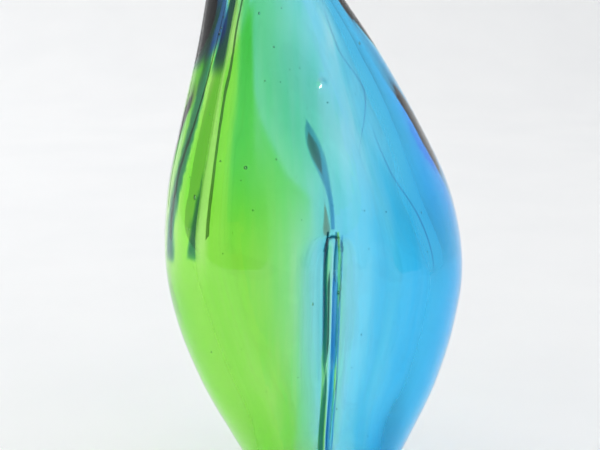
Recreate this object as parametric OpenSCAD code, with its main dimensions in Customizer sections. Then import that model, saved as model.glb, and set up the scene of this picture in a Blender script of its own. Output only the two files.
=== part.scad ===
// Hand-blown two-lobed art glass vase. A clear bubble is overlaid with green
// glass on one side and blue glass on the other, cased in clear glass, then
// pinched down the front so that the wall folds into a deep crease.
//
// Millimetres, +Z up. The origin is the centre of the ground flat on the base.
// The crease faces -Y, the green lobe is at -X and the blue lobe is at +X.
// Every piece is fused to its neighbours, so nothing moves.

/* [Overall size] */
// Height from the ground base to the top of the lip
vase_height = 325; // [290:1:360]
// Greatest width of the body, side to side
body_width = 128.4; // [118:0.1:140]
// Depth of the body, front to back, as a part of its width
body_depth = 0.64; // [0.6:0.01:0.75]
// How far the neck stands to the left of the foot
neck_lean = 31; // [24:1:34]

/* [Ground base] */
// Width of the ground flat that the vase stands on
flat_width = 49; // [44:1:50]
// Height of the ground step below the foot
flat_height = 1; // [0.6:0.1:1.4]

/* [Glass layers] */
// Part of the wall that the outer clear casing takes
casing_share = 0.36; // [0.3:0.01:0.42]
// Thickness of the blue glass where it is thickest
blue_thickness = 1.6; // [1:0.1:1.8]
// Thickness of the green glass where it is thickest
green_thickness = 1.6; // [1:0.1:1.8]

/* [Crease] */
// Depth of the open crease, from the broad valley inwards
crease_depth = 4.5; // [3:0.5:6]
// Width of the open crease at its mouth
crease_width = 7.4; // [6:0.2:9]
// Height of the closed top of the crease
crease_top = 126; // [120:1:134]
// Depth of the broad valley between the two lobes
valley_depth = 9; // [7:0.5:10]
// Height of the rolled lips that stand up on each side of the crease
roll_height = 1.2; // [0.6:0.1:1.6]

/* [Fold tail] */
// Height at which the tail of the closed fold ends, above the crease
tail_top = 175.5; // [172:0.5:184]
// Greatest width of the tail
tail_width = 6.4; // [4:0.1:7]
// Thickness of the tail, from front to back
tail_thickness = 2; // [1.4:0.1:2.2]

/* [Facets] */
// Facets around the vase
around = 40; // [36:4:44]
// Rows of facets from one station of the profile to the next
rows_per_station = 2; // [1:1:2]

/* [Hidden] */

// The profiles run from the foot to the lip. Each station holds a height as a
// part of the vase's height, a width as a part of the body's width, the lean
// as a part of the neck's lean, and how far the section is flattened: 0 is
// round and 1 is as flat as the body. Station by station, the cavity's
// profile pairs up with the outside's.
outside_profile = [
    [0.003, 0.402, 0.00, 0.00],
    [0.012, 0.425, 0.00, 0.00],
    [0.043, 0.472, 0.01, 0.12],
    [0.105, 0.627, 0.04, 0.45],
    [0.185, 0.812, 0.08, 0.80],
    [0.265, 0.944, 0.12, 0.96],
    [0.345, 0.998, 0.15, 1.00],
    [0.437, 0.938, 0.22, 0.97],
    [0.529, 0.776, 0.35, 0.88],
    [0.622, 0.583, 0.52, 0.70],
    [0.702, 0.410, 0.73, 0.48],
    [0.775, 0.288, 0.91, 0.22],
    [0.855, 0.242, 1.00, 0.00],
    [0.929, 0.265, 1.00, 0.00],
    [0.972, 0.323, 1.00, 0.00],
    [0.9925, 0.374, 1.00, 0.00]
];
cavity_profile = [
    [0.034, 0.090, 0.02, 0.00],
    [0.040, 0.230, 0.02, 0.16],
    [0.060, 0.360, 0.03, 0.42],
    [0.110, 0.492, 0.04, 0.76],
    [0.185, 0.655, 0.07, 1.02],
    [0.265, 0.782, 0.11, 1.12],
    [0.345, 0.836, 0.16, 1.15],
    [0.437, 0.742, 0.27, 1.15],
    [0.529, 0.590, 0.38, 1.08],
    [0.622, 0.400, 0.52, 0.90],
    [0.702, 0.246, 0.68, 0.60],
    [0.775, 0.168, 0.88, 0.26],
    [0.855, 0.148, 1.00, 0.00],
    [0.929, 0.164, 1.00, 0.00],
    [0.972, 0.226, 1.00, 0.00],
    [0.9925, 0.300, 1.00, 0.00]
];
// Where the crease runs at each station, as a part of the half width
crease_line = [0, 0, 0.01, 0.03, 0.079, 0.1, 0.116, 0.155, 0.08, 0.05, 0.02, 0, 0, 0, 0, 0];

last_row = (len(outside_profile) - 1) * rows_per_station;
// The clear core and both colours end here, below the lip, which is clear
core_top_row = last_row - 2 * rows_per_station;
lip_steps = 4;
// How much closer the facets stand at the crease than on average
crowding = 0.86;
// How far the section bulges beside its middle, which makes it two lobes
lobing = 0.84;
valley_half_width = 30;
// The ridge that the crease pushes into the cavity
ridge_depth = 5;
ridge_half_width = 15;
// How far the rolled lips stand from the crease's line, and half their width
roll_place = 9;
roll_half_width = 7;
// The crease fades out above the foot and ends in a round top
crease_foot = 14;
crease_fade = 24;
crease_round = 14;
tail_facets = 10;
tail_rings = 14;
// Depth of the tail's middle, as a part of the wall
tail_share = 0.18;

// A smooth curve through the stations of a list, at any place along it
function spline(list, at) =
    let (last = len(list) - 1,
         i = min(floor(at), last - 1),
         t = at - i,
         p0 = list[max(i - 1, 0)],
         p1 = list[i],
         p2 = list[i + 1],
         p3 = list[min(i + 2, last)])
    0.5 * (2 * p1 + (p2 - p0) * t + (2 * p0 - 5 * p1 + 4 * p2 - p3) * t * t
           + (3 * p1 - p0 - 3 * p2 + p3) * t * t * t);

function ease(x) = let (t = max(0, min(1, x))) t * t * (3 - 2 * t);
function bump(x) = abs(x) < 1 ? pow(1 - x * x, 2) : 0;
// An amount of colour, or none where the layer would be too thin to hold
function held(amount) = amount > 0.05 ? amount : 0;
function mix(a, b, part) = a + (b - a) * part;

// Sizes of a section: height, half width, half depth and middle
function section(profile, at) =
    let (s = spline(profile, at))
    [s[0] * vase_height, s[1] * body_width / 2,
     s[1] * body_width / 2 * (1 - (1 - body_depth) * s[3]), -s[2] * neck_lean];

// Angle of a column of facets: column 0 follows the crease, and the columns
// stand closer together there
function column_angle(at, column) =
    let (turn = 360 * column / around,
         crease_angle = -90 + asin(spline(crease_line, at)))
    crease_angle + turn - crowding * sin(turn) * 180 / PI;

function crease_x(at) =
    let (s = section(outside_profile, at)) s[3] + spline(crease_line, at) * s[1];

// How much of the crease is open at a height: none below its foot, and a
// round end at its top
function crease_open(z) =
    let (foot = ease((z - crease_foot) / crease_fade),
         end = (z - crease_top + crease_round) / crease_round)
    z > crease_top ? 0 : foot * (end > 0 ? 1 - end * end : 1);

// How strongly the two lobes stand apart at a height
function lobed(z) =
    ease((z - crease_foot) / 50) * ease((0.68 * vase_height - z) / 70);

function bean(s, angle, strength) =
    s[2] * sin(angle) * (1 + strength * lobing * pow(cos(angle), 2)) / (1 + 0.05 * strength);

function outside_point(at, column) =
    let (s = section(outside_profile, at),
         angle = column_angle(at, column),
         x = s[3] + s[1] * cos(angle),
         off = x - crease_x(at),
         valley = valley_depth * lobed(s[0]) * bump(off / valley_half_width),
         slit = crease_depth * bump(2 * off / crease_width),
         roll = roll_height * bump((abs(off) - roll_place) / roll_half_width),
         front = sin(angle) < 0 ? valley + crease_open(s[0]) * (slit - roll) : -valley / 2)
    [x, bean(s, angle, lobed(s[0])) + front, s[0]];

function cavity_point(at, column) =
    let (s = section(cavity_profile, at),
         angle = column_angle(at, column),
         x = s[3] + s[1] * cos(angle),
         off = x - crease_x(at),
         room = min(1, s[2] / 30),
         valley = valley_depth * lobed(s[0]) * room * bump(off / valley_half_width),
         ridge = ridge_depth * crease_open(s[0]) * room * bump(off / ridge_half_width),
         front = sin(angle) < 0 ? valley + ridge : -valley / 2)
    [x, bean(s, angle, lobed(s[0])) + front, s[0]];

// 0 in the body and 1 in the shoulder, where the colours end in firm edges
function shoulder_part(z) = ease((z / vase_height - 0.36) / 0.16);
function neck_part(z) = ease((z / vase_height - 0.6) / 0.06);
// 1 at the far left of the wall, and 0 past an angle on each side of it
function left_side(angle, half_width) =
    let (off = abs((angle + 360) % 360 - 180)) ease((half_width - off) / 17);

// How much blue and green glass there is round the vase: the blue is thickest
// at the right, the green at the left, and they overlap across the middle.
// Blue also wraps round the left of the neck, where the green is thin.
function blue_amount(row, column) =
    let (at = row / rows_per_station,
         z = section(outside_profile, at)[0],
         angle = column_angle(at, column),
         u = cos(angle),
         wrap = 0.25 * max(0, sin(angle)),
         body = 0.9 * max(0, min(1, (u + 0.42 + wrap) / 1.1)) + 0.1 * ease((u - 0.3) / 0.5),
         shoulder = 0.41 * ease((u + 0.62 + wrap) / 0.08) + 0.59 * ease((u - 0.2) / 0.6))
    let (amount = mix(body, shoulder, shoulder_part(z)))
    held(row_fade(row) * (amount + neck_part(z) * left_side(angle, 57)));
function green_amount(row, column) =
    let (at = row / rows_per_station,
         z = section(outside_profile, at)[0],
         angle = column_angle(at, column),
         u = cos(angle),
         body = ease((0.3 - u) / 0.9),
         shoulder = 0.8 * ease((-0.5 - u) / 0.1) + 0.2 * ease((0.45 - u) / 0.15),
         thinning = 1 - 0.9 * left_side(angle, mix(26, 57, neck_part(z))))
    held(row_fade(row) * thinning * mix(body, shoulder, shoulder_part(z)));
// The colours thin out to nothing at the base and below the lip
function row_fade(row) =
    ease((row - 1) / (2 * rows_per_station)) * ease((core_top_row - row) / (2 * rows_per_station));

// One ring of the wall at each depth: 0 is outside, 1 is the cavity
function wall_point(row, column, share) =
    mix(outside_point(row / rows_per_station, column),
        cavity_point(row / rows_per_station, column), share);
function wall_thickness(row, column) =
    norm(outside_point(row / rows_per_station, column)
         - cavity_point(row / rows_per_station, column));
function blue_inside(row, column) = casing_share
    + blue_thickness * blue_amount(row, column) / wall_thickness(row, column);
function green_inside(row, column) = blue_inside(row, column)
    + green_thickness * green_amount(row, column) / wall_thickness(row, column);

function outside_ring(row) = [for (j = [0 : around - 1]) wall_point(row, j, 0)];
function cavity_ring(row) = [for (j = [0 : around - 1]) wall_point(row, j, 1)];
function casing_ring(row) = [for (j = [0 : around - 1]) wall_point(row, j, casing_share)];
function blue_ring(row) = [for (j = [0 : around - 1]) wall_point(row, j, blue_inside(row, j))];
function core_ring(row) = [for (j = [0 : around - 1]) wall_point(row, j, green_inside(row, j))];

// The lip goes over from the outside to the cavity in a half round
function lip_ring(step) =
    let (half_turn = 180 * step / lip_steps)
    [for (j = [0 : around - 1])
        let (a = wall_point(last_row, j, 0), b = wall_point(last_row, j, 1))
        mix(a, b, (1 - cos(half_turn)) / 2) + [0, 0, norm(b - a) / 2 * sin(half_turn)]];

// Two triangles for the square between two rings. A square is always cut from
// its lower left to its upper right corner, so that pieces that touch share
// their facets; rings that are listed downwards say so.
function square_cut(low, high, j, downwards) =
    let (k = (j + 1) % around,
         a = low * around + j, b = low * around + k,
         c = high * around + k, d = high * around + j)
    downwards ? [[a, d, b], [b, d, c]] : [[a, d, c], [a, c, b]];

// A solid skinned over closed rings, with a flat end at each end of the list
module skinned(rings, down_from) {
    faces = [for (i = [0 : len(rings) - 2], j = [0 : around - 1])
        each square_cut(i, i + 1, j, i >= down_from)];
    first_end = [for (j = [0 : around - 1]) j];
    last_end = [for (j = [0 : around - 1]) len(rings) * around - 1 - j];
    polyhedron(points = [for (ring = rings) each ring], faces = concat(faces, [first_end, last_end]),
               convexity = 6);
}

// A layer between two sheets, which meet where the layer thins out to nothing
module layer(outer_rings, inner_rings, amounts) {
    count = len(outer_rings) * around;
    flat_amounts = [for (row = amounts) each row];
    function inner(i) = flat_amounts[i] > 0 ? count + i : i;
    triangles = [for (i = [0 : len(outer_rings) - 2], j = [0 : around - 1])
        for (t = square_cut(i, i + 1, j, false))
            if (flat_amounts[t[0]] > 0 || flat_amounts[t[1]] > 0 || flat_amounts[t[2]] > 0) t];
    inner_triangles = [for (t = triangles) [inner(t[2]), inner(t[1]), inner(t[0])]];
    points = concat([for (ring = outer_rings) each ring], [for (ring = inner_rings) each ring]);
    polyhedron(points = points, faces = concat(triangles, inner_triangles), convexity = 6);
}

// Middle of the fold's tail inside the casing, from its top, 0, to its foot, 1
function tail_middle(part) =
    let (z = mix(tail_top, crease_top + 4, part), at = station_at(z))
    mix(front_point(outside_profile, at, z), front_point(cavity_profile, at, z), tail_share);
// The tail is a leaf that ends in a long thin stem
function tail_half_width(part) =
    tail_width / 2 * (0.22 * ease(part * 5) * ease((1 - part) * 12) + 0.78 * bump((part - 0.32) / 0.34));
function front_point(profile, at, z) =
    let (front = profile == outside_profile ? outside_point(at, 0) : cavity_point(at, 0))
    [crease_x(at), front[1], z];
// The place along the outside profile that stands at a height
function station_at(z, low = 0, high = len(outside_profile) - 1) =
    let (middle = (low + high) / 2)
    high - low < 0.001 ? middle
        : section(outside_profile, middle)[0] < z ? station_at(z, middle, high)
        : station_at(z, low, middle);

module tail_solid() {
    rings = [for (i = [0 : tail_rings])
        let (part = i / tail_rings,
             middle = tail_middle(part),
             half = max(0.15, tail_half_width(part)),
             deep = min(half, tail_thickness / 2))
        [for (j = [0 : tail_facets - 1])
            let (turn = 360 * j / tail_facets)
            middle + [half * cos(turn), deep * sin(turn), 0]]];
    count = tail_facets;
    faces = [for (i = [0 : tail_rings - 1], j = [0 : count - 1])
        let (k = (j + 1) % count, a = i * count + j, b = i * count + k)
        each [[a, b, b + count], [a, b + count, a + count]]];
    top = [for (j = [count - 1 : -1 : 0]) j];
    foot = [for (j = [0 : count - 1]) tail_rings * count + j];
    polyhedron(points = [for (ring = rings) each ring], faces = concat(faces, [top, foot]));
}

// Outer clear casing, with the thick base, the ground flat and the clear lip
module clear_casing() {
    rings = concat([for (row = [0 : last_row]) outside_ring(row)],
                   [for (step = [1 : lip_steps - 1]) lip_ring(step)],
                   [for (row = [last_row : -1 : core_top_row]) cavity_ring(row)],
                   [for (row = [core_top_row : -1 : 0]) casing_ring(row)]);
    color([0.93, 0.96, 0.97, 0.35])
    difference() {
        union() {
            skinned(rings, down_from = last_row + lip_steps);
            cylinder(h = 5 * flat_height, d = flat_width, $fn = 96);
        }
        tail_solid();
    }
}

// Blue glass under the casing
module blue_layer() {
    rows = [0 : core_top_row];
    color([0.10, 0.55, 0.95, 0.6])
    layer([for (row = rows) casing_ring(row)], [for (row = rows) blue_ring(row)],
          [for (row = rows) [for (j = [0 : around - 1]) blue_amount(row, j)]]);
}

// Green glass under the casing and, where they overlap, under the blue
module green_layer() {
    rows = [0 : core_top_row];
    color([0.35, 0.85, 0.15, 0.6])
    layer([for (row = rows) blue_ring(row)], [for (row = rows) core_ring(row)],
          [for (row = rows) [for (j = [0 : around - 1]) green_amount(row, j)]]);
}

// The clear bubble that the vase was blown from, round the cavity
module clear_core() {
    rings = concat([for (row = [0 : core_top_row]) core_ring(row)],
                   [for (row = [core_top_row : -1 : 0]) cavity_ring(row)]);
    color([0.88, 0.94, 0.96, 0.35])
    skinned(rings, down_from = core_top_row + 1);
}

// Doubled colour where the fold closed above the crease
module fold_tail() {
    color([0.12, 0.33, 0.40])
    tail_solid();
}

clear_casing();
blue_layer();
green_layer();
clear_core();
fold_tail();
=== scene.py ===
"""Looks of a hand-blown two-lobed art glass vase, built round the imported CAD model.

The wall is made of the same bodies of glass as the CAD model: a clear casing, a blue
layer, a green layer, a clear core round the cavity, and the doubled fold above the crease.
Each one is a closed fine mesh. The casing and the core bend light where they meet the
air; where two bodies of glass are fused, light goes straight on.
"""
import math

import bpy
import numpy as np
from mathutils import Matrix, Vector

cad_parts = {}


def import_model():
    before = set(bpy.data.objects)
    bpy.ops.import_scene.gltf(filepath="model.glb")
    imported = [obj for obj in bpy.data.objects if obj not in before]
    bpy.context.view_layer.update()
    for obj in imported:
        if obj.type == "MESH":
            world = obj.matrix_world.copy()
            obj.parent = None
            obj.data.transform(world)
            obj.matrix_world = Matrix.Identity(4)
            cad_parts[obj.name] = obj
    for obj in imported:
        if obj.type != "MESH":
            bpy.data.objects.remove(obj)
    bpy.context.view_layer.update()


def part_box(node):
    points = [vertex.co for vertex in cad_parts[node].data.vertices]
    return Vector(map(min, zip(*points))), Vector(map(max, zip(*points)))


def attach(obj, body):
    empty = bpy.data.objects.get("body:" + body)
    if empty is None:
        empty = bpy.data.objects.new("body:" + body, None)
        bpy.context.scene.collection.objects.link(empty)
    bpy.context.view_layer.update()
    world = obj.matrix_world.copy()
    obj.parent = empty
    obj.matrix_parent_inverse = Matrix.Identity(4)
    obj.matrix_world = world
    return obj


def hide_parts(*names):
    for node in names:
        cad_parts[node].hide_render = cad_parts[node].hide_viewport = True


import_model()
SCENE = bpy.context.scene

MM = 0.001
FULL_TURN = 2 * math.pi

# ---------------------------------------------------------------- sizes from the frame
LOW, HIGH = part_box("clear_casing")
BODY_WIDTH = HIGH.x - LOW.x
# The rounded lip ends just short of the height that the profiles below are parts of
LIP_TOP = 0.9998
VASE_HEIGHT = HIGH.z / LIP_TOP
# Depth of the body as a part of its width, and how far the neck leans to the left
BODY_DEPTH = 0.64
NECK_LEAN = 0.241 * BODY_WIDTH
FLAT_WIDTH = 49 * MM
CORE_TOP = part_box("clear_core")[1].z
TAIL_LOW, TAIL_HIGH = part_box("fold_tail")

# Stations of the profiles, from the foot to the lip: height, width, lean and flattening,
# as parts of the vase's height, the body's width, the neck's lean and the body's flattening
OUTSIDE = np.array([
    (0.003, 0.402, 0.00, 0.00),
    (0.012, 0.425, 0.00, 0.00),
    (0.043, 0.472, 0.01, 0.12),
    (0.105, 0.627, 0.04, 0.45),
    (0.185, 0.812, 0.08, 0.80),
    (0.265, 0.944, 0.12, 0.96),
    (0.345, 0.998, 0.15, 1.00),
    (0.437, 0.938, 0.22, 0.97),
    (0.529, 0.776, 0.35, 0.88),
    (0.622, 0.583, 0.52, 0.70),
    (0.702, 0.410, 0.73, 0.48),
    (0.775, 0.288, 0.91, 0.22),
    (0.855, 0.242, 1.00, 0.00),
    (0.929, 0.265, 1.00, 0.00),
    (0.972, 0.323, 1.00, 0.00),
    (0.9925, 0.374, 1.00, 0.00),
])
CAVITY = np.array([
    (0.034, 0.090, 0.02, 0.00),
    (0.040, 0.230, 0.02, 0.16),
    (0.060, 0.360, 0.03, 0.42),
    (0.110, 0.492, 0.04, 0.76),
    (0.185, 0.655, 0.07, 1.02),
    (0.265, 0.782, 0.11, 1.12),
    (0.345, 0.836, 0.16, 1.15),
    (0.437, 0.742, 0.27, 1.15),
    (0.529, 0.590, 0.38, 1.08),
    (0.622, 0.400, 0.52, 0.90),
    (0.702, 0.246, 0.68, 0.60),
    (0.775, 0.168, 0.88, 0.26),
    (0.855, 0.148, 1.00, 0.00),
    (0.929, 0.164, 1.00, 0.00),
    (0.972, 0.226, 1.00, 0.00),
    (0.9925, 0.300, 1.00, 0.00),
])
# Where the crease runs at each station, as a part of the half width
CREASE_LINE = np.array([0, 0, 0.01, 0.03, 0.079, 0.1, 0.116, 0.155, 0.08, 0.05, 0.02,
                        0, 0, 0, 0, 0])

# ---------------------------------------------------------------- the wall
# How deep in the wall the casing ends: 0 is the outside and 1 is the cavity
CASING_SHARE = 0.36
LAYER_THICKNESS = 1.6 * MM
# Fused surfaces stand this far apart, so that no two of them coincide
FUSED_GAP = 0.02 * MM
# A layer's two sheets meet where it is thinner than this part of its full thickness
THINNEST = 0.01
# The deep slit between the lobes
CREASE_DEPTH = 4.5 * MM
CREASE_HALF_WIDTH = 3.7 * MM
CREASE_FOOT_HALF_WIDTH = 2.6 * MM
CREASE_TOP = 0.388 * VASE_HEIGHT
CREASE_FOOT = 0.043 * VASE_HEIGHT
CREASE_FADE = 24 * MM
CREASE_ROUND = 14 * MM
# The wide valley that the crease lies in. The cavity takes it in full where it is deep enough.
VALLEY_DEPTH = 9 * MM
VALLEY_HALF_WIDTH = 30 * MM
VALLEY_ROOM = 30 * MM
# The glass stands up a little in a rolled lip on each side of the crease
ROLL_HEIGHT = 1.2 * MM
ROLL_PLACE = 9 * MM
ROLL_HALF_WIDTH = 7 * MM
# The ridge that the crease pushes into the cavity
RIDGE_DEPTH = 5 * MM
RIDGE_HALF_WIDTH = 15 * MM
# Against an ellipse, how much deeper the section is towards its sides, and flatter all over
LOBING = 0.84
LOBE_FLATTENING = 0.05
LOBES_TOP = 0.68 * VASE_HEIGHT
LOBES_RISE = 50 * MM
LOBES_FALL = 70 * MM
# A shallow dent in the shoulder, and the small pit at its right that catches the light
DENT_X = -3.6 * MM
DENT_Z = 190 * MM
DENT_HALF_WIDTH = 3.2 * MM
DENT_HALF_HEIGHT = 6.5 * MM
DENT_DEPTH = 0.45 * MM
PIT_SHIFT = 2 * MM
PIT_RADIUS = 2.6 * MM
PIT_DEPTH = 1.3 * MM

COLUMNS = 224
# How strongly the columns crowd towards the crease
CROWDING = 0.86
ROWS_PER_STATION = 12
LAST = len(OUTSIDE) - 1
# Rows stand closer together where the crease ends and at the dent
ROWS = np.concatenate([np.linspace(0, LAST, LAST * ROWS_PER_STATION + 1),
                       np.linspace(6.25, 7, 46), np.linspace(8.4, 8.9, 31)])
ROWS = np.unique(ROWS.round(5))
TURNS = np.linspace(0, FULL_TURN, COLUMNS, endpoint=False)
LIP_STEPS = 12


def spline(stations, at):
    """A smooth curve through the stations, at each place along it."""
    at = np.asarray(at, float)
    last = len(stations) - 1
    i = np.minimum(np.floor(at).astype(int), last - 1)
    t = at - i
    if stations.ndim == 2:
        t = t[..., None]
    p0, p1 = stations[np.maximum(i - 1, 0)], stations[i]
    p2, p3 = stations[i + 1], stations[np.minimum(i + 2, last)]
    return 0.5 * (2 * p1 + (p2 - p0) * t + (2 * p0 - 5 * p1 + 4 * p2 - p3) * t ** 2
                  + (3 * p1 - p0 - 3 * p2 + p3) * t ** 3)


def ease(x):
    """A smooth step from 0 to 1 while x goes from 0 to 1."""
    t = np.clip(x, 0, 1)
    return t * t * (3 - 2 * t)


def bump(x):
    """1 at 0, falling smoothly to nothing at 1 on each side."""
    return np.maximum(0, 1 - np.square(x)) ** 2


def mix(a, b, part):
    return a + (b - a) * part


def section(profile, at):
    """Height, half width, half depth and middle of the section at a place."""
    s = spline(profile, at)
    half = s[..., 1] * BODY_WIDTH / 2
    return (s[..., 0] * VASE_HEIGHT, half, half * (1 - (1 - BODY_DEPTH) * s[..., 3]),
            -s[..., 2] * NECK_LEAN)


def column_angle(at, turn):
    """Angle of a column; column 0 follows the crease and the columns crowd there."""
    return np.arcsin(spline(CREASE_LINE, at)) - math.pi / 2 + turn - CROWDING * np.sin(turn)


def crease_x(at):
    _, half, _, middle = section(OUTSIDE, at)
    return middle + spline(CREASE_LINE, at) * half


def crease_open(z):
    """How much of the crease is open: none at the foot, and a round end at its top."""
    end = (z - CREASE_TOP + CREASE_ROUND) / CREASE_ROUND
    rounded = np.where(end > 0, np.maximum(0, 1 - end ** 2), 1)
    return np.where(z > CREASE_TOP, 0, ease((z - CREASE_FOOT) / CREASE_FADE) * rounded)


def lobed(z):
    """1 where the section has two full lobes, and 0 towards the foot and the neck."""
    return ease((z - CREASE_FOOT) / LOBES_RISE) * ease((LOBES_TOP - z) / LOBES_FALL)


def dent(x, z):
    """How deep the dent and its pit are at a point of the shoulder."""
    hollow = np.hypot((x - DENT_X) / DENT_HALF_WIDTH, (z - DENT_Z) / DENT_HALF_HEIGHT)
    pit = np.hypot(x - DENT_X - PIT_SHIFT, z - DENT_Z) / PIT_RADIUS
    return DENT_DEPTH * bump(hollow) + PIT_DEPTH * bump(pit)


def crease_half_width(z):
    """The crease narrows towards the foot, and its edges wander a little."""
    wander = 0.07 * np.sin(z / (5.5 * MM)) + 0.05 * np.sin(z / (2.9 * MM) + 1)
    return mix(CREASE_FOOT_HALF_WIDTH, CREASE_HALF_WIDTH, z / CREASE_TOP) * (1 + wander)


def crease_wander(z):
    """How far the crease strays from its line."""
    return 0.35 * MM * np.sin(z / (14 * MM)) + 0.2 * MM * np.sin(z / (6 * MM))


def surface_point(profile, at, turn, slit_depth, slit_half_width):
    """A point of the outside or of the cavity."""
    z, half, deep, middle = section(profile, at)
    angle = column_angle(at, turn)
    strength = lobed(z)
    room = np.minimum(1, deep / VALLEY_ROOM) if profile is CAVITY else 1
    x = middle + half * np.cos(angle)
    y = (deep * np.sin(angle) * (1 + strength * LOBING * np.cos(angle) ** 2)
         / (1 + LOBE_FLATTENING * strength))
    off = x - crease_x(at) - crease_wander(z) * crease_open(z)
    valley = VALLEY_DEPTH * strength * room * bump(off / VALLEY_HALF_WIDTH)
    slit = slit_depth * crease_open(z) * room * bump(off / slit_half_width)
    roll = ROLL_HEIGHT * crease_open(z) * bump((np.abs(off) - ROLL_PLACE) / ROLL_HALF_WIDTH)
    y = y + np.where(np.sin(angle) < 0, valley + slit - roll, -valley / 2)
    return np.stack([x, y, z + 0 * x], axis=-1)


def outside(at, turn):
    half_width = crease_half_width(section(OUTSIDE, at)[0])
    points = surface_point(OUTSIDE, at, turn, CREASE_DEPTH, half_width)
    points[..., 1] += np.where(points[..., 1] < 0, dent(points[..., 0], points[..., 2]), 0)
    return points


def cavity(at, turn):
    return surface_point(CAVITY, at, turn, RIDGE_DEPTH, RIDGE_HALF_WIDTH)


AT, TURN = np.meshgrid(ROWS, TURNS, indexing="ij")
OUTER = outside(AT, TURN)
INNER = cavity(AT, TURN)
WALL = np.linalg.norm(OUTER - INNER, axis=-1)
ANGLE = column_angle(AT, TURN)
# Angle from the far left of the wall: positive in front and negative behind
FROM_LEFT = (ANGLE + FULL_TURN) % FULL_TURN - math.pi
# The core and the colours reach up to this row of the wall
TOP_ROW = int(np.searchsorted(OUTER[:, 0, 2], CORE_TOP))
REACHED = slice(TOP_ROW + 1)
# Places in the rows reached: across, from -1 at the left to 1 at the right; behind, from -1
# in front to 1 at the back; and the height as a part of the vase's
ACROSS = np.cos(ANGLE[REACHED])
BEHIND = np.sin(ANGLE[REACHED])
HEIGHT = OUTER[REACHED, :, 2] / VASE_HEIGHT


def sheet(share):
    """The surface at a depth in the wall, as far up as the share's rows go."""
    rows = len(share)
    return mix(OUTER[:rows], INNER[:rows], share[..., None])


def crease_offset():
    """How far right of the crease's line each point lies. Points behind count as far off."""
    far_off = 1
    return np.where(OUTER[..., 1] < 0, OUTER[..., 0] - OUTER[:, :1, 0], far_off)


# ---------------------------------------------------------------- amounts of colour
def row_fade():
    """The colours thin out to nothing at the base and below the lip."""
    at = AT[REACHED]
    return ease((at - 0.5) / 2) * ease((at[-1, 0] - at) / 2)


def shoulder_part():
    """0 in the body and 1 in the shoulder, where the colours end in firm edges."""
    return ease((HEIGHT - 0.36) / 0.16)


def neck_part():
    """0 below the neck's own colouring and 1 above its slanting edge."""
    edge = 0.585 + 0.18 * np.maximum(0, ACROSS + 0.97)
    return ease((HEIGHT - edge) / 0.03)


def left_side(half_width, edge, behind=1.0):
    """1 at the far left of the wall, and 0 past an angle on each side of it.

    At the back of the wall that angle is divided by behind."""
    off = np.abs(FROM_LEFT[REACHED])
    return ease((half_width - off * np.where(BEHIND > 0, behind, 1)) / edge)


def neck_band():
    """The left of the neck, in front only, where the navy band runs."""
    front_only = 50
    return neck_part() * left_side(0.78, 0.1, front_only)


def thin_sides():
    """The layers are blown thinner at the sides of the body than at its middle."""
    return 1 - 0.4 * ease((np.abs(ACROSS) - 0.6) / 0.3) * (1 - shoulder_part())


def crease_painted_highlight_line():
    """Painted highlight: a fine line without colour runs along the bottom of the crease and shows
    as its bright middle.
    """
    line = bump(crease_offset()[REACHED] / (0.9 * MM))
    return 1 - 0.85 * line * crease_open(OUTER[REACHED, :, 2])


def pale_streak_gap():
    """A pale streak without much colour runs down the front of the shoulder."""
    x, z = OUTER[REACHED, :, 0] / MM, OUTER[REACHED, :, 2] / MM
    off = np.abs(x - np.interp(z, (206, 224, 260), (4.8, -0.8, -8)))
    in_front = OUTER[REACHED, :, 1] <= 0
    return 1 - 0.8 * bump(off / 4.5) * in_front * ease((z - 198) / 10)


def green_edge():
    """Where the strong green ends in the shoulder: it slants down over the front."""
    front = np.interp(HEIGHT, (0.44, 0.468, 0.5415, 0.578, 0.7),
                      (0.05, -0.12, -0.33, -0.395, -0.4))
    return np.where(BEHIND < 0, front, -0.5)


def blue_amount():
    """How much of the blue layer's full thickness each point of the wall has."""
    u = ACROSS
    # The colour reaches further left at the back than in front
    wrap = 0.25 * np.maximum(0, BEHIND)
    body = np.interp(u + 0.6 * wrap, (-0.45, 0.05, 0.32, 0.62, 0.8), (0, 0.27, 0.4, 0.82, 1))
    shoulder = 0.36 * ease((u + 0.62 + wrap) / 0.08) + 0.2 * ease((u - 0.7) / 0.06)
    shoulder = (shoulder + 0.1 * ease((u - 0.8) / 0.2)) * pale_streak_gap()
    amount = mix(body * thin_sides(), shoulder, shoulder_part()) * crease_painted_highlight_line()
    return row_fade() * (amount + 0.75 * neck_band())


def green_amount():
    """How much of the green layer's full thickness each point of the wall has."""
    u = ACROSS
    body = ease((0.2 - u) / 0.85)
    shoulder = 0.6 * ease((green_edge() - u) / 0.08) + 0.34 * np.clip((0.45 - u) / 0.75, 0, 1)
    shoulder = shoulder * pale_streak_gap()
    # The glass is almost clear along the far left edge
    gap = left_side(0.3, 0.2) * ease((HEIGHT - 0.28) / 0.1)
    clear_side = 1 - 0.9 * mix(gap, left_side(0.78, 0.1, 0.62), neck_part())
    amount = mix(body * thin_sides(), shoulder, shoulder_part()) * crease_painted_highlight_line()
    return row_fade() * amount * clear_side


# ---------------------------------------------------------------- mesh building
def new_piece(name, points, faces, materials, face_slots=None):
    """A smooth mesh, linked to the scene."""
    mesh = bpy.data.meshes.new(name)
    mesh.from_pydata(points.tolist(), [], faces)
    for material in materials:
        mesh.materials.append(material)
    if face_slots is not None:
        mesh.polygons.foreach_set("material_index", face_slots)
    mesh.polygons.foreach_set("use_smooth", [True] * len(mesh.polygons))
    mesh.update()
    piece = bpy.data.objects.new(name, mesh)
    bpy.context.collection.objects.link(piece)
    return piece


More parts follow.
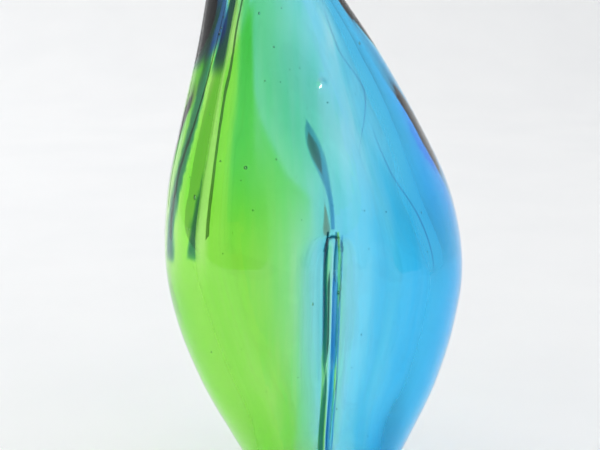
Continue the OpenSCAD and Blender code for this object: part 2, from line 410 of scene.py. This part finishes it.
def skinned(name, groups, materials):
    """A closed mesh skinned over rings. Each group is (rings, material slot), and the
    strip that leads into a group takes the group's slot. Both ends close on a point."""
    rings = np.concatenate([g[0] for g in groups])
    slots = np.concatenate([np.full(len(g[0]), g[1]) for g in groups])
    count = len(rings)
    points = np.concatenate([rings.reshape(-1, 3), [rings[0].mean(0)], [rings[-1].mean(0)]])
    j = np.arange(COLUMNS)
    k = (j + 1) % COLUMNS
    faces, face_slots = [], []
    for i in range(count - 1):
        low, high = i * COLUMNS, (i + 1) * COLUMNS
        faces += np.stack([low + j, low + k, high + k, high + j], 1).tolist()
        face_slots += [int(slots[i + 1])] * COLUMNS
    start, end = count * COLUMNS, count * COLUMNS + 1
    faces += np.stack([k, j, np.full(COLUMNS, start)], 1).tolist()
    face_slots += [int(slots[0])] * COLUMNS
    top = (count - 1) * COLUMNS
    faces += np.stack([top + j, top + k, np.full(COLUMNS, end)], 1).tolist()
    face_slots += [int(slots[-1])] * COLUMNS
    return new_piece(name, points, faces, materials, face_slots)


def layer(name, outer_share, inner_share, amount, material):
    """A closed layer whose two sheets meet where its amount runs out."""
    rows, columns = amount.shape
    held = (amount > THINNEST).ravel()
    outer = sheet(outer_share).reshape(-1, 3)
    inner = sheet(inner_share).reshape(-1, 3)
    index = np.arange(len(outer))
    inner_index = np.where(held, len(outer) + index, index)
    i, j = np.meshgrid(np.arange(rows - 1), np.arange(columns), indexing="ij")
    k = (j + 1) % columns
    quads = np.stack([i * columns + j, i * columns + k, (i + 1) * columns + k,
                      (i + 1) * columns + j], -1).reshape(-1, 4)
    triangles = np.concatenate([quads[:, [0, 1, 2]], quads[:, [0, 2, 3]]])
    triangles = triangles[held[triangles].any(1)]
    faces = np.concatenate([triangles, inner_index[triangles][:, ::-1]])
    points = np.concatenate([outer, inner])
    used, renumbered = np.unique(faces, return_inverse=True)
    return new_piece(name, points[used], renumbered.reshape(faces.shape).tolist(), [material])


def band(name, start, thickness, amount, material):
    """A layer that goes inwards from a depth in the wall by its amount of a thickness."""
    end = start + amount * thickness / WALL[:len(amount)]
    return layer(name, start, end, amount, material)


def tube(name, rings, material):
    """A closed tube over rings of points, which run up or down."""
    count, sides = rings.shape[:2]
    faces = []
    for i in range(count - 1):
        first, following = i * sides, (i + 1) * sides
        for j in range(sides):
            k = (j + 1) % sides
            faces.append([first + j, first + k, following + k, following + j])
    faces.append(list(range(sides - 1, -1, -1)))
    faces.append([(count - 1) * sides + j for j in range(sides)])
    if rings[0, 0, 2] > rings[-1, 0, 2]:
        faces = [[face[0], *face[:0:-1]] for face in faces]
    return new_piece(name, rings.reshape(-1, 3), faces, [material])


# ---------------------------------------------------------------- materials
# Fine streaks in the glass: how many there are to a metre, and how far they are drawn out
STREAK_SCALE = 160
STREAK_STRETCH = 14


def noise(tree, scale, stretch):
    """Noise in the object's own metres, drawn out along its height."""
    place = tree.nodes.new("ShaderNodeTexCoord")
    drawn_out = tree.nodes.new("ShaderNodeMapping")
    drawn_out.inputs["Scale"].default_value = (1, 1, 1 / stretch)
    texture = tree.nodes.new("ShaderNodeTexNoise")
    texture.inputs["Scale"].default_value = scale
    texture.inputs["Detail"].default_value = 3
    tree.links.new(place.outputs["Object"], drawn_out.inputs["Vector"])
    tree.links.new(drawn_out.outputs["Vector"], texture.inputs["Vector"])
    return texture.outputs["Fac"]


def waves(material, scale, height, stretch=1.0):
    """Small waves in a surface, as a height in metres."""
    tree = material.node_tree
    waviness = tree.nodes.new("ShaderNodeBump")
    waviness.inputs["Strength"].default_value = 1
    waviness.inputs["Distance"].default_value = height
    tree.links.new(noise(tree, scale, stretch), waviness.inputs["Height"])
    tree.links.new(waviness.outputs["Normal"], tree.nodes["Principled BSDF"].inputs["Normal"])


def streaks(material, pale, deep, scale=STREAK_SCALE, stretch=STREAK_STRETCH):
    """Fine streaks between two colours."""
    tree = material.node_tree
    ramp = tree.nodes.new("ShaderNodeValToRGB")
    ramp.color_ramp.elements[0].position = 0.35
    ramp.color_ramp.elements[1].position = 0.65
    ramp.color_ramp.elements[0].color = (*deep, 1)
    ramp.color_ramp.elements[1].color = (*pale, 1)
    tree.links.new(noise(tree, scale, stretch), ramp.inputs["Fac"])
    tree.links.new(ramp.outputs["Color"], tree.nodes["Principled BSDF"].inputs["Base Color"])


def glass(name, ior, tint=(1, 1, 1)):
    """Smooth glass. An index of 1 leaves light as it is, as where two glasses are fused."""
    material = bpy.data.materials.new(name)
    material.use_nodes = True
    shader = material.node_tree.nodes["Principled BSDF"]
    shader.inputs["Base Color"].default_value = (*tint, 1)
    shader.inputs["Transmission Weight"].default_value = 1
    shader.inputs["Roughness"].default_value = 0
    shader.inputs["IOR"].default_value = ior
    return material


def absorbing(material, colour, density):
    """Glass that takes more of some colours the further light goes through it."""
    tree = material.node_tree
    volume = tree.nodes.new("ShaderNodeVolumeAbsorption")
    volume.inputs["Color"].default_value = (*colour, 1)
    volume.inputs["Density"].default_value = density
    tree.links.new(volume.outputs[0], tree.nodes["Material Output"].inputs["Volume"])


def layer_glass(name, log_loss, thickness):
    """Glass that lets exp(-log_loss) of each colour through at a thickness."""
    material = glass(name, 1.0)
    loss = np.array(log_loss) / thickness
    density = float(loss.max())
    absorbing(material, tuple(1 - loss / density), density)
    # The streaks take this part more of the colours that the glass takes
    streak_share = 0.03
    deep = tuple(np.exp(-streak_share * (loss - loss.min()) * thickness))
    streaks(material, (1, 1, 1), deep)
    return material


CLEAR = glass("clear_glass", 1.5, (0.997, 1, 0.999))
waves(CLEAR, 70, 0.04 * MM, 2)
FUSED = glass("fused_joint", 1.0)
streaks(FUSED, (1, 1, 1), (0.99, 1, 0.998))
# Blue and green are given for light that crosses the layer twice, in front and behind
BLUE = layer_glass("blue_glass", (4.0, 0.72, 0.02), 2 * LAYER_THICKNESS)
NAVY = layer_glass("navy_glass", (2.8, 3.1, 1.5), 1.6 * MM)
TEAL = layer_glass("teal_glass", (3.0, 1.5, 0.3), 0.8 * MM)
GREEN = layer_glass("green_glass", (1.46, 0.22, 3.07), 2 * LAYER_THICKNESS)
FOLD = layer_glass("fold_glass", (1.3, 0.9, 0.35), 2.2 * MM)
FOLD_CORE = layer_glass("fold_core_glass", (0.2, 1.0, 1.3), 1.6 * MM)
# Glass for the bands in the crease; the dark ones paint the shade at the slit's edges
LINING = layer_glass("lining_green_glass", (4.6, 2.6, 2.1), 1.0 * MM)
LINING_DARK = layer_glass("lining_shadow_glass", (3.5, 3.2, 3.0), 0.8 * MM)
LINING_BLUE = layer_glass("lining_blue_glass", (4.0, 2.2, 0.9), 1.0 * MM)
LINING_YELLOW = layer_glass("lining_yellow_glass", (0.0, 0.0, 2.4), 0.6 * MM)
# Glass for the painted dark reflected lines in the shoulder
REFLECTION_LINE_GLASS = layer_glass("reflection_line_glass", (1.0, 1.1, 0.7), 0.5 * MM)


# ---------------------------------------------------------------- the vase
# Depth in the wall at which the linings of the crease start
LINING_START = 0.25 * MM / WALL


def lip_rings():
    """The lip goes over from the outside to the cavity in a half round."""
    a, b = OUTER[-1], INNER[-1]
    half = np.linalg.norm(b - a, axis=1)[:, None] / 2
    turns = np.linspace(0, math.pi, LIP_STEPS + 1)[1:-1]
    return np.array([mix(a, b, (1 - math.cos(t)) / 2) + half * math.sin(t) * np.array([0, 0, 1])
                     for t in turns])


def ground_rings():
    """The ground flat and the small step up to the foot."""
    first = OUTER[0]
    centre = first.mean(0)
    spoke = (first - centre) / np.linalg.norm(first - centre, axis=1)[:, None]
    flat = FLAT_WIDTH / 2
    sizes = [(0.3, 0), (0.7, 0), (0.985, 0), (1, 0.2 * MM)]
    return np.array([spoke * flat * part + (centre[0], centre[1], z) for part, z in sizes])


def casing():
    """The clear outside, the lip, the neck's clear inside, and the side fused to the colours."""
    inside = mix(OUTER[REACHED], INNER[REACHED], CASING_SHARE)
    groups = [(ground_rings(), 0), (OUTER, 0), (lip_rings(), 0), (INNER[:TOP_ROW - 1:-1], 0),
              (inside[::-1], 1)]
    piece = skinned("casing_of_clear_glass", groups, [CLEAR, FUSED])
    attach(piece, "root")
    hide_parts("clear_casing")


def core(core_share):
    """The clear glass between the colours and the cavity."""
    groups = [(sheet(core_share), 1), (INNER[:TOP_ROW][::-1], 0)]
    piece = skinned("core_of_clear_glass", groups, [CLEAR, FUSED])
    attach(piece, "root")
    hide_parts("clear_core")


def colour_layers():
    """The blue layer, and the green one inside it. Gives the depth at which the core starts."""
    gap = FUSED_GAP / WALL[REACHED]
    start = CASING_SHARE + gap
    layers = [("layer_of_blue_glass", blue_amount(), BLUE, "blue_layer", "blue_glass"),
              ("layer_of_green_glass", green_amount(), GREEN, "green_layer", "green_glass")]
    for name, amount, material, node, slot in layers:
        end = start + amount * LAYER_THICKNESS / WALL[REACHED]
        piece = layer(name, start, end, amount, material)
        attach(piece, "root")
        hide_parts(node)
        start = end + gap
    return start


def at_height(z):
    """The place along the outside profile that stands at a height."""
    return np.interp(z, OUTER[:, 0, 2], ROWS)


def along(values, part):
    """Values in millimetres, evenly spaced along a piece, as a smooth curve in metres."""
    return spline(np.array(values, float), part * (len(values) - 1))[:, None, None] * MM


def leaf(name, top, foot, widths, thickness, share, material, shifts=(0, 0)):
    """A flat leaf of glass inside the wall, along the line of the crease.

    The half widths and the shifts to the right are in millimetres, from its top down."""
    rings, sides = 40, 16
    at = at_height(np.linspace(top, foot, rings))
    middle = mix(outside(at, 0 * at), cavity(at, 0 * at), share)
    part = np.linspace(0, 1, rings)
    half = along(widths, part)
    turn = np.linspace(0, FULL_TURN, sides, endpoint=False)
    ring = np.stack([np.cos(turn), 0 * turn, 0 * turn], -1)[None] * half
    deep = np.stack([0 * turn, np.sin(turn), 0 * turn], -1)[None] * np.minimum(half, thickness / 2)
    points = middle[:, None] + ring + deep + along(shifts, part) * np.array([1, 0, 0])
    piece = tube(name, points, material)
    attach(piece, "root")
    return piece


def fold_tail():
    """The leaf-shaped end of the closed fold, with its darker core, and the short spur."""
    top, foot = TAIL_HIGH.z, TAIL_LOW.z
    tail = leaf("fold_tail_leaf", top, foot, (0.2, 2.2, 3.2, 3.2, 2.3, 1.4, 1.1, 1.0, 0.9),
                1.6 * MM, 0.14, FOLD)
    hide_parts("fold_tail")
    leaf("fold_tail_core", mix(top, foot, 0.12), mix(top, foot, 0.52),
         (0.1, 1.4, 2.2, 2.2, 1.8, 1.0, 0.1), 1.0 * MM, 0.30, FOLD_CORE, (-0.3, -0.3))
    leaf("fold_spur", CREASE_TOP + 15 * MM, CREASE_TOP + 1 * MM,
         (0.1, 0.5, 0.9, 1.3, 1.8, 1.2), 1.0 * MM, 0.32, FOLD_CORE, (-2.2, -2.2))


def lining(name, heights, middles, half_widths, thickness, material):
    """A thin band of glass just under the surface of the crease, from its foot up.

    Its middle and half width are given at heights, all in millimetres."""
    z = OUTER[..., 2] / MM
    middle = np.interp(z, heights, middles) * MM
    half = np.maximum(1e-6, np.interp(z, heights, half_widths) * MM)
    amount = np.sqrt(bump((crease_offset() - middle) / half))
    amount = amount * (z > heights[0]) * (z < heights[-1])
    piece = band(name, LINING_START, thickness, amount, material)
    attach(piece, "root")


def round_end_painted_shade():
    """Painted shade: a dark ring of glass round the top end of the crease."""
    drop, height, half_width, line = 5 * MM, 6 * MM, 3.6 * MM, 0.16
    z = (OUTER[..., 2] - CREASE_TOP + drop) / height
    ring = np.hypot(crease_offset() / half_width, z)
    amount = bump((ring - 1) / line) * (z > 0)
    piece = band("lining_of_round_end", LINING_START, 0.8 * MM, amount, LINING)
    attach(piece, "root")


def crease_bands_and_painted_shade():
    """Bands of glass beside the crease's line, seen edge-on. The dark ones are painted shade at
    the edges of the slit, in the colours drawn into the crease.
    """
    lining("lining_of_dark_green", (66, 72, 90, 108, 120, 129),
           (-2.2, -2.4, -2.6, -3.0, -2.9, -2.3), (0.1, 1.0, 1.1, 1.0, 1.0, 0.4), 1.0 * MM, LINING)
    lining("lining_of_deep_teal", (16, 30, 50, 60, 67),
           (-1.6, -1.8, -1.9, -1.8, -1.5), (0.8, 1.4, 1.3, 1.1, 0.1), 1.0 * MM, LINING)
    # A grey band: painted shadow deep in the slit
    lining("lining_shadow", (73, 80, 95, 106, 112),
           (-1.3, -1.2, -1.4, -1.4, -1.2), (0.1, 0.6, 0.7, 0.6, 0.1), 0.8 * MM, LINING_DARK)
    lining("lining_of_deep_blue", (16, 40, 68, 72, 90, 106, 112),
           (1.3, 1.2, 1.1, 1.4, 1.5, 1.4, 1.1), (0.9, 1.0, 0.7, 1.1, 1.2, 1.1, 0.1),
           1.0 * MM, LINING_BLUE)
    lining("lining_of_sea_green", (107, 112, 120, 126, 129),
           (1.5, 1.4, 1.5, 1.5, 1.0), (0.1, 0.9, 1.0, 0.8, 0.2), 0.8 * MM, LINING)
    lining("lining_of_yellow_green", (40, 70, 98, 104, 118, 129),
           (2.2, 2.5, 2.7, 3.0, 3.1, 1.8), (0.3, 0.35, 0.4, 0.7, 0.7, 0.3),
           0.6 * MM, LINING_YELLOW)
    lining("lining_outline", (20, 60, 98, 118, 128),
           (3.0, 3.2, 3.4, 4.0, 3.5), (0.2, 0.25, 0.3, 0.35, 0.1), 0.6 * MM, LINING_BLUE)
    round_end_painted_shade()


def neck_lining():
    """A band of navy glass that wraps the left of the neck, over the blue."""
    start = CASING_SHARE - 1.2 * MM / WALL[REACHED]
    piece = band("layer_of_navy_glass", start, 0.8 * MM, row_fade() * neck_band(), NAVY)
    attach(piece, "root")


def rim_lining():
    """A narrow band of deep teal glass down the left of the body, in front."""
    z = OUTER[..., 2] / MM
    foot, top, half_width, edge = 115, 214, 0.085, 0.03
    off = np.abs(FROM_LEFT - np.interp(z, (131, 176, 205), (0.35, 0.5, 0.56)))
    amount = ease((half_width - off) / edge) * ease((z - foot) / 3) * ease((top - z) / 20)
    piece = band("band_of_teal_glass", 0.3 * MM / WALL, 0.6 * MM, amount, TEAL)
    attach(piece, "root")


def front_turn(at, across):
    """The turn at which the wall's front lies so far across, for each place up the vase."""
    turns = np.linspace(-2.4, 2.4, 400)
    return np.array([np.interp(x, outside(row + 0 * turns, turns)[:, 0], turns)
                     for row, x in zip(at, across)])


def painted_reflection_line(name, heights, places, shares, radius):
    """A thin line of glass in the front wall, with pointed ends, that paints a dark reflected
    line.

    It runs through places across at heights, in millimetres, and at depths in the wall."""
    rings, sides, point = 60, 8, 0.04
    z = np.linspace(heights[0], heights[-1], rings)
    at = at_height(z * MM)
    across = spline(np.array(places, float), np.interp(z, heights, range(len(places)))) * MM
    turn = front_turn(at, across)
    middle = mix(outside(at, turn), cavity(at, turn), np.interp(z, heights, shares)[:, None])
    taper = np.sqrt(np.sin(np.linspace(point, math.pi - point, rings)))
    round_it = np.linspace(0, FULL_TURN, sides, endpoint=False)
    ring = np.stack([np.cos(round_it), np.sin(round_it), 0 * round_it], -1)
    points = middle[:, None] + ring[None] * (radius * taper)[:, None, None]
    piece = tube(name, points, REFLECTION_LINE_GLASS)
    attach(piece, "root")


def painted_reflection_lines():
    """Painted reflections: thin dark lines of glass in the right shoulder, where the cavity's edge
    and the dark surroundings show as lines in the glass.
    """
    painted_reflection_line("reflected_line_of_brown_glass", (160, 186, 203, 225), (14, 16.5, 5.7, -1.6),
           (0.12, 0.12, 0.12, 0.1), 0.22 * MM)
    painted_reflection_line("reflected_line_of_blue_glass", (104, 121, 138, 155, 175), (44.8, 44.0, 37.9, 27.0, 19.0),
           (0.1, 0.1, 0.1, 0.1, 0.1), 0.24 * MM)


# The bubbles that stand out: place across, height, width in millimetres, and stretch
LARGE_BUBBLES = [
    (-33.5, 158, 1.5, 1), (-53.2, 145, 1.2, 1.9), (-42.7, 159, 0.8, 1), (-29.9, 140, 0.7, 1),
    (-20.2, 160, 0.7, 1), (-27.4, 218, 0.8, 1.6), (-21.4, 205, 0.8, 1), (-25, 191, 0.7, 1),
    (1.2, 182, 0.7, 1), (14.9, 204, 0.9, 1.8), (-5.3, 99, 0.8, 1.7), (-48.4, 80, 0.8, 1),
    (-55.6, 152, 0.7, 1), (-44, 208, 1.1, 1.7), (-42.5, 216, 0.7, 1), (-43, 212, 0.8, 1.3),
    (6, 104, 1.4, 1.2), (-35, 152, 0.5, 1), (26, 139, 0.6, 1), (-12, 66, 0.5, 1)]
LARGE_BUBBLE_DEPTH = 0.14
SMALL_BUBBLES = 60


def add_bubble(points, faces, place, depth, radius, stretch):
    """One bubble at a depth in the wall, stretched upwards."""
    middle = mix(OUTER[place], INNER[place], depth)
    rings, sides = 7, 12
    first = len(points)
    for i in range(1, rings):
        tilt = math.pi * i / rings
        for j in range(sides):
            turn = FULL_TURN * j / sides
            offset = (math.sin(tilt) * math.cos(turn), math.sin(tilt) * math.sin(turn),
                      stretch * math.cos(tilt))
            points.append(tuple(middle + radius * np.array(offset)))
    top, foot = len(points), len(points) + 1
    points.append(tuple(middle + np.array([0, 0, radius * stretch])))
    points.append(tuple(middle - np.array([0, 0, radius * stretch])))
    for j in range(sides):
        k = (j + 1) % sides
        for i in range(rings - 2):
            a, b = first + i * sides, first + (i + 1) * sides
            faces.append([a + j, a + k, b + k, b + j])
        last = first + (rings - 2) * sides
        faces.append([top, first + k, first + j])
        faces.append([foot, last + j, last + k])


def seed_bubbles():
    """Little bubbles of air in the casing. Their faces look inwards, which makes them air."""
    chance = np.random.default_rng(11)
    in_front = np.abs(TURN - math.pi) > 1.2
    points, faces = [], []
    for x, z, width, stretch in LARGE_BUBBLES:
        off = np.hypot(OUTER[..., 0] - x * MM, OUTER[..., 2] - z * MM)
        place = np.unravel_index(np.argmin(np.where(in_front, off, 1)), off.shape)
        add_bubble(points, faces, place, LARGE_BUBBLE_DEPTH, width * MM / 2, stretch)
    low_row, high_row = 30, len(ROWS) - 40
    for _ in range(SMALL_BUBBLES):
        place = (int(chance.integers(low_row, high_row)), int(chance.integers(COLUMNS)))
        add_bubble(points, faces, place, chance.uniform(0.08, 0.28),
                   chance.uniform(0.1, 0.28) * MM, chance.uniform(1, 1.8))
    piece = new_piece("seed_bubbles", np.array(points), faces, [CLEAR])
    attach(piece, "root")


core(colour_layers())
casing()
fold_tail()
crease_bands_and_painted_shade()
neck_lining()
rim_lining()
painted_reflection_lines()
seed_bubbles()


# ---------------------------------------------------------------- stage, light, camera
WORLD_LIGHT = 0.78
# The dark card stands on edge behind the vase, at its left
CARD_NEAR = (-0.268, 0.41)
CARD_FAR = (-0.252, 0.46)
CARD_FOOT, CARD_TOP = 0.05, 0.36
CAMERA_PITCH = math.radians(12.8)
CAMERA_DISTANCE = 0.645
CAMERA_AIM = (-0.0105, 0, 0.1254)


def matt(name, pale, deep, scale):
    """A matt board, faintly mottled between two greys."""
    material = bpy.data.materials.new(name)
    material.use_nodes = True
    shader = material.node_tree.nodes["Principled BSDF"]
    shader.inputs["Roughness"].default_value = 0.9
    shader.inputs["Specular IOR Level"].default_value = 0.1
    streaks(material, pale, deep, scale, 1)
    return material


def table():
    """A pale table top that ends in front of the vase and runs up into a backdrop."""
    front, back, half, rise, bend = -0.6, 1.6, 1.4, 1.6, 0.5
    path = [(y, 0) for y in np.linspace(front, back - bend, 8)]
    path += [(back - bend + bend * math.sin(a), bend - bend * math.cos(a))
             for a in np.linspace(0, math.pi / 2, 16)[1:]]
    path += [(back, rise)]
    points = np.array([(x, y, z) for y, z in path for x in (-half, half)])
    faces = [[2 * i, 2 * i + 1, 2 * i + 3, 2 * i + 2] for i in range(len(path) - 1)]
    board = matt("pale_table", (0.905, 0.905, 0.905), (0.885, 0.887, 0.89), 9)
    waves(board, 900, 0.05 * MM)
    piece = new_piece("table_and_backdrop", points, faces, [board])


def dark_card():
    """A dark card that hangs outside the picture, to draw a dark line in the glass."""
    points = np.array([(*CARD_NEAR, CARD_FOOT), (*CARD_FAR, CARD_FOOT), (*CARD_FAR, CARD_TOP),
                       (*CARD_NEAR, CARD_TOP)])
    card = matt("dark_card", (0.21, 0.21, 0.21), (0.185, 0.187, 0.19), 60)
    waves(card, 700, 0.05 * MM)
    piece = new_piece("dark_card_left", points, [[0, 1, 2, 3]], [card])
    piece.visible_camera = False
    piece.visible_diffuse = False
    piece.visible_shadow = False


def world():
    """A soft studio: bright above and behind, dimmer at the left, dim below the table's front."""
    studio = bpy.data.worlds.new("studio")
    SCENE.world = studio
    studio.use_nodes = True
    tree = studio.node_tree
    place = tree.nodes.new("ShaderNodeTexCoord")
    axes = tree.nodes.new("ShaderNodeSeparateXYZ")
    tree.links.new(place.outputs["Generated"], axes.inputs[0])

    def shade(axis, start, end, value, end_value, interpolation="SMOOTHSTEP"):
        """One value short of start along an axis of the direction, and another past end."""
        node = tree.nodes.new("ShaderNodeMapRange")
        node.interpolation_type = interpolation
        node.inputs["From Min"].default_value = start
        node.inputs["From Max"].default_value = end
        node.inputs["To Min"].default_value = value
        node.inputs["To Max"].default_value = end_value
        tree.links.new(axes.outputs[axis], node.inputs["Value"])
        return node.outputs["Result"]

    def combine(operation, a, b):
        """The result of one operation on two lights."""
        node = tree.nodes.new("ShaderNodeMath")
        node.operation = operation
        tree.links.new(a, node.inputs[0])
        tree.links.new(b, node.inputs[1])
        return node.outputs[0]

    light = shade("Y", 0, -0.6, WORLD_LIGHT, 0.05)
    light = combine("MAXIMUM", light, shade("X", 0.7, 0.4, WORLD_LIGHT, 0))
    light = combine("MAXIMUM", light, shade("X", -0.7, -0.4, WORLD_LIGHT, 0))
    light = combine("MAXIMUM", light, shade("Z", -0.05, 0.25, 0, WORLD_LIGHT, "LINEAR"))
    light = combine("MULTIPLY", light, shade("X", -0.15, -0.8, 1, 0.8))
    tree.links.new(light, tree.nodes["Background"].inputs["Strength"])
    tree.nodes["Background"].inputs["Color"].default_value = (0.97, 0.985, 1.0, 1)


def turn_to(thing, direction):
    """Lets a lamp or a camera look in a direction."""
    thing.rotation_mode = "QUATERNION"
    thing.rotation_quaternion = direction.to_track_quat("-Z", "Y")


def softbox(name, place, size, power):
    """A soft lamp that shines on the body of the vase."""
    aim = Vector((0, 0, 0.1))
    data = bpy.data.lights.new(name, "AREA")
    data.shape = "RECTANGLE"
    data.size, data.size_y = size
    data.energy = power
    lamp = bpy.data.objects.new(name, data)
    SCENE.collection.objects.link(lamp)
    lamp.location = place
    turn_to(lamp, aim - Vector(place))
    return lamp


def lamps():
    """A large lamp high up behind the vase, and one in front that shows as the highlight only."""
    softbox("top_softbox", (-1.3, 0.7, 2.1), (1.6, 1.8), 24)
    glint = softbox("glint_lamp", (0, -0.93, 1.39), (0.9, 0.9), 60)
    glint.visible_camera = False
    glint.visible_diffuse = False
    glint.visible_transmission = False


def camera():
    """The camera looks down on the vase a little, through a long lens."""
    data = bpy.data.cameras.new("camera")
    data.sensor_width = 36
    data.lens = 90
    cam = bpy.data.objects.new("camera", data)
    SCENE.collection.objects.link(cam)
    back = Vector((0, -math.cos(CAMERA_PITCH), math.sin(CAMERA_PITCH)))
    cam.location = Vector(CAMERA_AIM) + back * CAMERA_DISTANCE
    turn_to(cam, -back)
    SCENE.camera = cam


table()
world()
dark_card()
lamps()
camera()
SCENE.view_settings.view_transform = "Standard"
# Light crosses many glass surfaces before it leaves the vase
SCENE.cycles.max_bounces = 40
SCENE.cycles.transmission_bounces = 40
SCENE.cycles.glossy_bounces = 16
SCENE.cycles.min_light_bounces = 40
